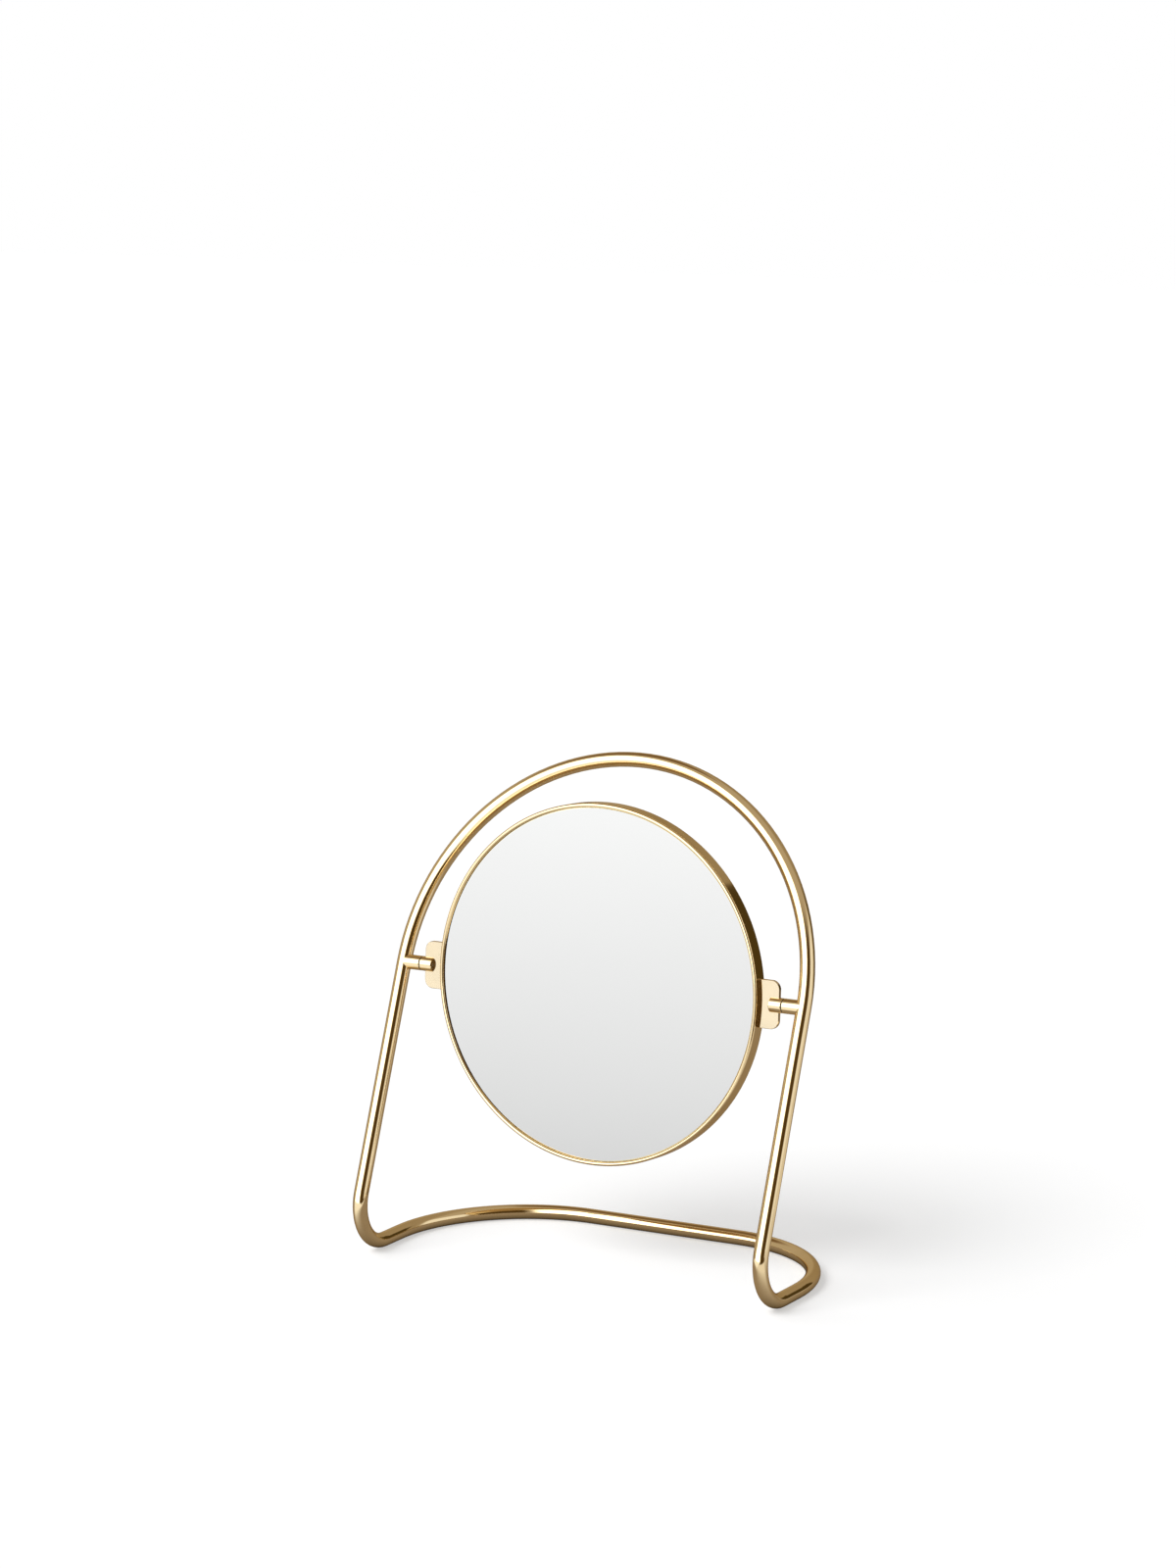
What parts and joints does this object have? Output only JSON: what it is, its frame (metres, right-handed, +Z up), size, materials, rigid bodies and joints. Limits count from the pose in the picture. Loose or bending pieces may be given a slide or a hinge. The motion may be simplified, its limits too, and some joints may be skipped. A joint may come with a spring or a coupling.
{
  "type": "table mirror",
  "caption": "Round tilting table mirror in a thin hoop, pivoted between the legs of a leaning arch bent from brass tube that runs round into a flat D-shaped base.",
  "frame": {"origin": "on the table surface, at the bottom centre of the object's box at rest", "axes": "+X to the viewer's right, +Y to the rear, +Z up"},
  "size_m": [0.25, 0.1232, 0.2686],
  "materials": {
    "polished_brass": "polished, clear lacquered",
    "satin_brass": "polished plate with a fine grain",
    "raw_brass": "drawn, unpolished",
    "pin_steel": "ground",
    "nylon": "dark nylon",
    "silvered_glass": "silvered float glass",
    "foam_pad": "closed-cell adhesive foam"
  },
  "bodies": {
    "frame": {"frame_tube": "polished_brass", "tube_joint_spigot": "raw_brass", "pivot_stub_left": "polished_brass", "pivot_stub_right": "polished_brass", "pivot_bush_left": "nylon", "pivot_bush_right": "nylon", "pivot_washer_left": "nylon", "pivot_washer_right": "nylon"},
    "mirror": {"mirror_rim": "polished_brass", "mirror_glass": "silvered_glass", "backing_pad": "foam_pad", "back_plate": "satin_brass", "rim_tab_left": "satin_brass", "rim_tab_right": "satin_brass", "pivot_sleeve_left": "polished_brass", "pivot_sleeve_right": "polished_brass", "pivot_pin_left": "pin_steel", "pivot_pin_right": "pin_steel"}
  },
  "joints": [
    {"name": "mirror_tilt", "type": "hinge", "parent": "frame", "child": "mirror", "pos_m": [0, -0.00942, 0.1522], "axis": [1, 0, 0], "continuous": true}
  ]
}
